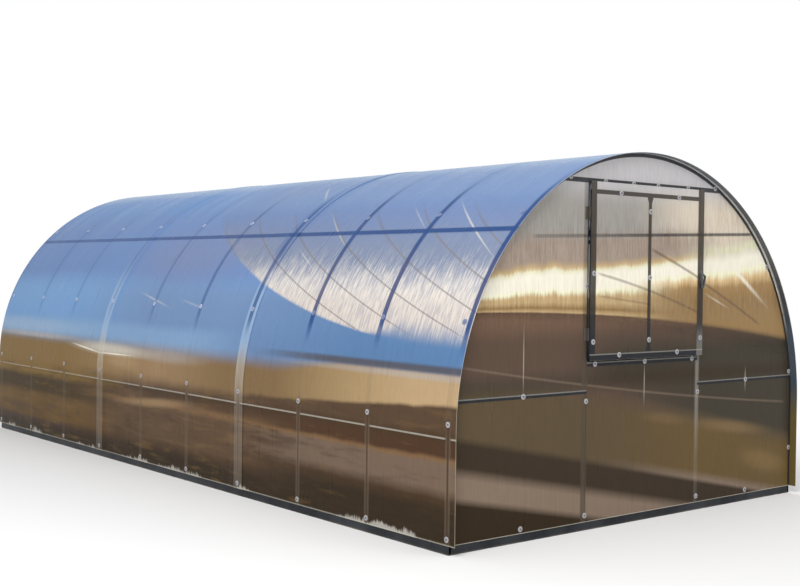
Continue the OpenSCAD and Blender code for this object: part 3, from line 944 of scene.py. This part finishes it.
def model_screw(sizes):
    """One screw with its domed washer, standing on Z = 0 with its head up."""
    washer = add_cylinder(20, sizes.washer_r, sizes.washer_t, 0.0)
    pick_end(washer, 1)
    for share_of_radius, rise in ((0.18, 0.0012), (0.3, 0.0), (0.06, -0.0009)):
        bpy.ops.mesh.inset(thickness=sizes.washer_r * share_of_radius, depth=rise)
    close_piece(washer, "pale washer")

    head = add_cylinder(6, sizes.head_r, sizes.head_t, sizes.washer_t + 0.0002)
    pick_end(head, 1)
    bpy.ops.mesh.inset(thickness=0.0006, depth=0.0005)
    pick_end(head, -1)
    bpy.ops.mesh.extrude_region_move(TRANSFORM_OT_translate={"value": (0, 0, -0.0001)})
    bpy.ops.transform.resize(value=(1.35, 1.35, 1), center_override=(0, 0, 0))
    close_piece(head, "zinc screw")

    made = join([washer, head], "screw")
    bpy.ops.object.shade_smooth_by_angle(angle=math.radians(35))
    return made


def copy_screws(model, places, name):
    """Joins copies of the screw, each at a point and facing a direction, as one piece."""
    made = []
    for point, facing in places:
        turn = Vector((0, 0, 1)).rotation_difference(Vector(facing)).to_matrix().to_4x4()
        mesh = model.data.copy()
        mesh.transform(Matrix.Translation(Vector(point)) @ turn)
        piece = bpy.data.objects.new(name, mesh)
        bpy.context.scene.collection.objects.link(piece)
        made.append(piece)
    screws = join(made, name)
    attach(screws, "root")


def high_on_roof(board, position):
    """Mask of what sits on the curved part of the roof, and the place along the building."""
    x, y, z = board.split(position)
    radius = board.hypotenuse(x, z - SPRING_Z)
    return z.rise(0.95, 1.1) * radius.rise(SKIN_R - 0.0015, SKIN_R - 0.0005), y


def screw_materials(sizes):
    _, board, shader, position = new_material("pale washer")
    on_roof, y = high_on_roof(board, position)
    # Washers high on the roof get a painted sky reflection, darker near the front
    roof_tone = board.blend(y.rise(-1.6, -0.4), sizes.roof_washer, sizes.far_washer)
    plain = board.blend(on_roof, sizes.washer, roof_tone)
    cloud = board.noise(position, 60.0)
    tone = plain.under(cloud.rise(0.3, 0.7, 0.0, 0.3), plain.under(0.5, (0.2, 0.19, 0.17)))
    board.paint(shader, base_color=tone, roughness=cloud.rise(0.3, 0.7, 0.25, 0.45))

    _, board, shader, position = new_material("zinc screw")
    # Screw heads high on the roof get part of the painted sky reflection
    plain = board.blend(high_on_roof(board, position)[0] * 0.45, sizes.screw, sizes.far_washer)
    fleck = board.noise(position, 400.0, 3.0)
    tone = plain.under(fleck.rise(0.35, 0.65), plain.under(0.4, (0.5, 0.5, 0.5)))
    board.paint(shader, base_color=tone, roughness=fleck.rise(0.3, 0.7, 0.3, 0.55))
    shader.inputs["Metallic"].default_value = 0.8


# ---- operators: screws ----


def roof_radius(place):
    """Radius of the roof's outer face at a place along the building."""
    return LAP_R if abs(abs(place) - LAP_Y) < LAP_HALF else SKIN_R


def place_on_roof(place, angle, side):
    """Point and direction on the outside of the roof at an angle above the springing line."""
    facing = (side * math.cos(angle), 0, math.sin(angle))
    radius = roof_radius(place)
    return (radius * facing[0], place, SPRING_Z + radius * facing[2]), facing


class AddRoofScrews(bpy.types.Operator):
    """Screws with washers that hold the roof sheets to every arch"""

    bl_idname = "greenhouse.add_roof_screws"
    bl_label = "Add the roof screws"

    def execute(self, context):
        sizes = context.scene.greenhouse_screws
        screw_materials(sizes)
        model = model_screw(sizes)
        angles = (math.asin(SPRING_SCREW_RISE / SKIN_R), *map(math.radians, ROOF_SCREW_DEGREES))
        for side, name in ((-1, "left"), (1, "right")):
            places = []
            for place in ARCH_PLACES:
                places.append(((side * roof_radius(place), place, FOOT_SCREW_Z), (side, 0, 0)))
                places += [place_on_roof(place, angle, side) for angle in angles]
            copy_screws(model, places, "roof_screws_" + name)
        bpy.data.objects.remove(model)
        return {"FINISHED"}


def screws_on_gable():
    """Places across and up on a gable. Those on the posts and rails aren't quite even."""
    places = [(x, 0.072) for x in (-1.0, 1.0)]
    places += [(side * POST_X, z) for side in (-1, 1) for z in (0.085, 0.72)]
    places += [(-POST_X, 1.36), (POST_X, 1.79)]
    places += [(side * 0.99, MID_RAIL_Z) for side in (-1, 1)]
    places += [(x, SILL_Z) for x in (-0.43, 0.0, 0.44)]
    places += [(x, LINTEL_Z) for x in (-0.36, -0.12, 0.1, 0.38)]
    for side in (-1, 1):
        for angle in RIM_SCREW_ANGLES:
            places.append((side * RIM_SCREW_R * math.cos(angle), SPRING_Z + RIM_SCREW_R * math.sin(angle)))
    return places + [(side * RIM_SCREW_R, 0.3) for side in (-1, 1)]


def screws_on_leaf():
    """Places across and up on a vent leaf."""
    left, right = LEAF_LEFT + LEAF_SCREW_IN, LEAF_RIGHT - LEAF_SCREW_IN
    places = [(x, 1.05) for x in (left, LEAF_MID, right)]
    for height in (LEAF_Z0, LEAF_Z1):
        places += [(LEAF_MID - LEAF_SCREW_AWAY, height), (LEAF_MID + LEAF_SCREW_AWAY, height)]
    return places + [(left, 1.43), (LEAF_MID, 1.41), (LEAF_MID, 1.79)]


class AddGableScrews(bpy.types.Operator):
    """Screws with washers on the gables and the vent leaves"""

    bl_idname = "greenhouse.add_gable_screws"
    bl_label = "Add the gable screws"

    def execute(self, context):
        model = model_screw(context.scene.greenhouse_screws)
        for side, end in ((-1, "front"), (1, "rear")):
            places = []
            for face, points in ((GABLE_FACE, screws_on_gable()), (LEAF_FACE, screws_on_leaf())):
                places += [((x, side * face, z), (0, side, 0)) for x, z in points]
            copy_screws(model, places, end + "_gable_screws")
        bpy.data.objects.remove(model)
        return {"FINISHED"}


# ---- stage ----


def seen_directly(board):
    """Mask of the rays that come from the camera, a glossy face or a clear sheet."""
    seen = board.put("LightPath").outputs
    camera, glossy, clear = (Value(board, seen["Is %s Ray" % kind]) for kind in ("Camera", "Glossy", "Transmission"))
    return camera | (glossy | clear)


def floor_material(tone):
    """Matt floor that goes over into plain white away from the building."""
    made, board, shader, position = new_material("studio floor")
    board.paint(shader, base_color=tone)
    shader.inputs["Roughness"].default_value = 0.9
    shader.inputs["Specular IOR Level"].default_value = 0.0
    x, y = board.split(position)[:2]
    away = board.hypotenuse((abs(x) - HALF_WIDE) | 0.0, (abs(y) - HALF_LONG) | 0.0)
    glow = board.put("Emission", {"Color": WHITE, "Strength": 1.0})
    white = seen_directly(board) * away.rise(0.6, 4.0)
    mix = board.put("MixShader", {0: white, 1: shader.outputs[0], 2: glow.outputs[0]})
    board.feed(made.node_tree.nodes["Material Output"].inputs["Surface"], mix.outputs[0])
    return made


class BuildStage(bpy.types.Operator):
    """Pale floor, soft studio light and the camera"""

    bl_idname = "greenhouse.build_stage"
    bl_label = "Build the stage"

    def execute(self, context):
        scene = context.scene
        stage = scene.greenhouse_stage
        deselect()
        bpy.ops.mesh.primitive_circle_add(vertices=96, radius=stage.floor_r, fill_type="NGON", location=(0, 0, 0))
        floor = context.object
        floor.name = "studio_floor"
        floor.data.materials.append(floor_material(stage.floor))
        floor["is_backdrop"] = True

        scene.world = bpy.data.worlds.new("studio")
        scene.world.use_nodes = True
        board = Board(scene.world.node_tree)
        strength = board.between(seen_directly(board), stage.fill, 1.0)
        board.paint(scene.world.node_tree.nodes["Background"], color=WHITE, strength=strength)

        for name, place, size, share_of_key in LAMPS:
            bpy.ops.object.light_add(type="AREA", location=place)
            lamp = context.object
            lamp.name = name
            lamp.data.shape = "DISK"
            lamp.data.size = size
            lamp.data.energy = stage.key * share_of_key
            lamp.visible_glossy = False
            lamp.rotation_euler = (Vector(LAMP_AIM) - Vector(place)).to_track_quat("-Z", "Y").to_euler()

        forward = Vector(CAMERA_FORWARD).normalized()
        level_right = forward.cross(Vector((0, 0, 1))).normalized()
        right = (Matrix.Rotation(math.radians(CAMERA_ROLL), 3, forward) @ level_right).normalized()
        bpy.ops.object.camera_add(location=CAMERA_PLACE)
        camera = context.object
        camera.name = "camera"
        camera.rotation_euler = Matrix((right, right.cross(forward), -forward)).transposed().to_euler()
        camera.data.lens = stage.lens
        camera.data.sensor_width = SENSOR_WIDTH
        scene.camera = camera
        scene.view_settings.view_transform = "Standard"
        return {"FINISHED"}


class GreenhousePanel(bpy.types.Panel):
    bl_idname = "VIEW3D_PT_greenhouse"
    bl_label = "Greenhouse"
    bl_space_type = "VIEW_3D"
    bl_region_type = "UI"
    bl_category = "Greenhouse"

    def draw(self, context):
        for step in STEPS:
            self.layout.operator(step.bl_idname)
        for key in SETTINGS:
            box = self.layout.box()
            group = getattr(context.scene, key)
            for name in group.__annotations__:
                box.prop(group, name)


STEPS = (FinishFrame, FinishSheets, FinishFittings, AddRoofScrews, AddGableScrews, BuildStage)
SETTINGS = {
    "greenhouse_steel": SteelFinish,
    "greenhouse_sheets": SheetFinish,
    "greenhouse_screws": ScrewSizes,
    "greenhouse_stage": StageSettings,
}
CLASSES = (*SETTINGS.values(), *STEPS, GreenhousePanel)


def register():
    for item in CLASSES:
        bpy.utils.register_class(item)
    for key, group in SETTINGS.items():
        setattr(bpy.types.Scene, key, PointerProperty(type=group))


def unregister():
    for key in SETTINGS:
        delattr(bpy.types.Scene, key)
    for item in reversed(CLASSES):
        bpy.utils.unregister_class(item)


def main():
    register()
    bpy.ops.greenhouse.finish_frame()
    bpy.ops.greenhouse.finish_sheets()
    bpy.ops.greenhouse.finish_fittings()
    bpy.ops.greenhouse.add_roof_screws()
    bpy.ops.greenhouse.add_gable_screws()
    bpy.ops.greenhouse.build_stage()
    boxes = {"cad": [list(c) for c in CAD_BOX], "visual": [list(c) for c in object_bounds()]}


if __name__ == "__main__":
    main()
